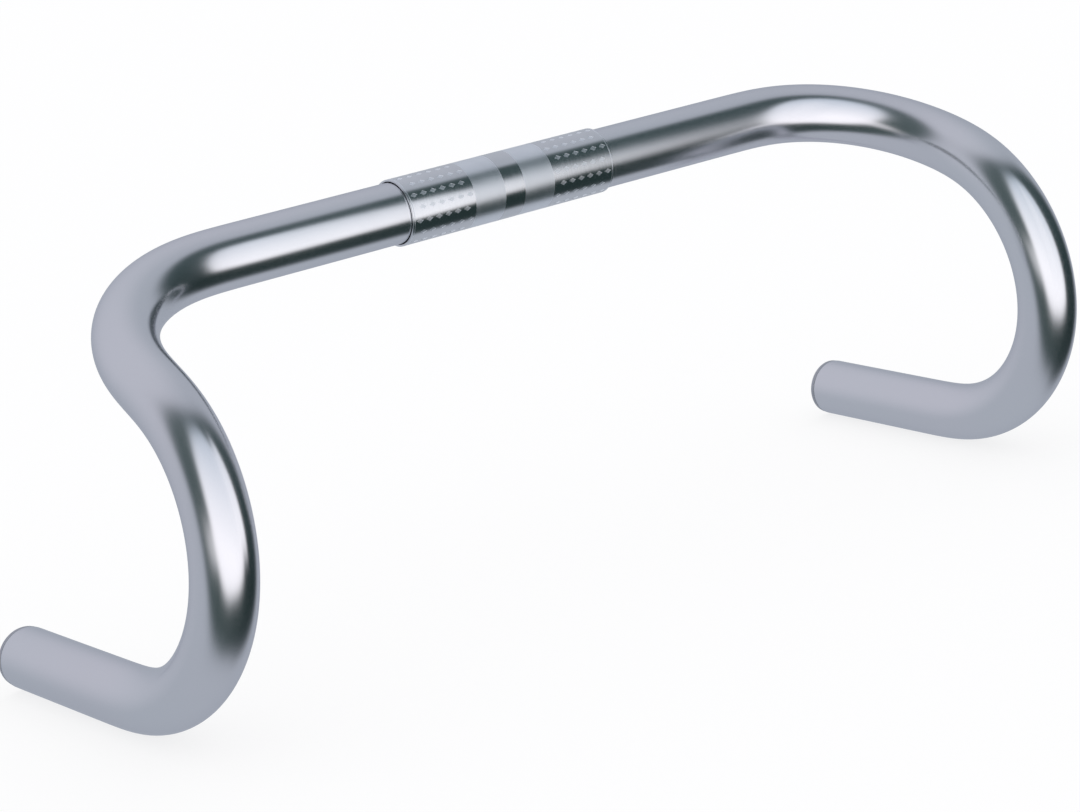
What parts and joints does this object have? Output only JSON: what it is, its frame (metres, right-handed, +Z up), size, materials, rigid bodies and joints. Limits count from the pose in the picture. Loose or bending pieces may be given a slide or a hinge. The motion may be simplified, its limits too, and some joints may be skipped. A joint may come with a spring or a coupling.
{
  "type": "drop handlebar",
  "caption": "Drop handlebar for a road bicycle: bent alloy tube with deep hooks, a pressed clamp sleeve and an expanding plug closing each end.",
  "frame": {"origin": "on the tube's axis at the middle of the clamp sleeve, where the stem holds the bar", "axes": "+X to the rider's left along the top, -Y forwards, +Z up, with the lower grips level"},
  "size_m": [0.4336, 0.1598, 0.1651],
  "materials": {
    "tube": "polished and clear anodised, satin sheen",
    "sleeve": "polished, with frosted and engraved zones",
    "plug_cap": "satin, turned",
    "plug_rubber": "matt black",
    "plug_steel": "zinc plated"
  },
  "bodies": {
    "bar": {"bar_tube": "tube", "clamp_sleeve": "sleeve"},
    "left_plug": {"left_plug_cap": "plug_cap", "left_plug_expander": "plug_rubber"},
    "left_screw": {"left_plug_screw": "plug_steel"},
    "left_cone": {"left_plug_cone": "plug_steel"},
    "right_plug": {"right_plug_cap": "plug_cap", "right_plug_expander": "plug_rubber"},
    "right_screw": {"right_plug_screw": "plug_steel"},
    "right_cone": {"right_plug_cone": "plug_steel"}
  },
  "joints": [
    {"name": "left_plug_pull", "type": "slide", "parent": "bar", "child": "left_plug", "axis": [0.0268, 0.9996, 0.0009], "range_m": [0, 0.04]},
    {"name": "left_screw_turn", "type": "hinge", "parent": "left_plug", "child": "left_screw", "pos_m": [0.20491, 0.04973, -0.14011], "axis": [0.0268, 0.9996, 0.0009], "range_deg": [0, 1080]},
    {"name": "left_cone_travel", "type": "slide", "parent": "left_plug", "child": "left_cone", "axis": [-0.0268, -0.9996, -0.0009], "range_m": [0, 0.0021]},
    {"name": "right_plug_pull", "type": "slide", "parent": "bar", "child": "right_plug", "axis": [-0.0268, 0.9996, 0.0009], "range_m": [0, 0.04]},
    {"name": "right_screw_turn", "type": "hinge", "parent": "right_plug", "child": "right_screw", "pos_m": [-0.20491, 0.04973, -0.14011], "axis": [-0.0268, 0.9996, 0.0009], "range_deg": [0, 1080]},
    {"name": "right_cone_travel", "type": "slide", "parent": "right_plug", "child": "right_cone", "axis": [0.0268, -0.9996, -0.0009], "range_m": [0, 0.0021]}
  ],
  "couplings": [
    {"joint": "left_screw_turn", "follows": "left_cone_travel", "rad_per_m": 8976},
    {"joint": "right_screw_turn", "follows": "right_cone_travel", "rad_per_m": 8976}
  ]
}
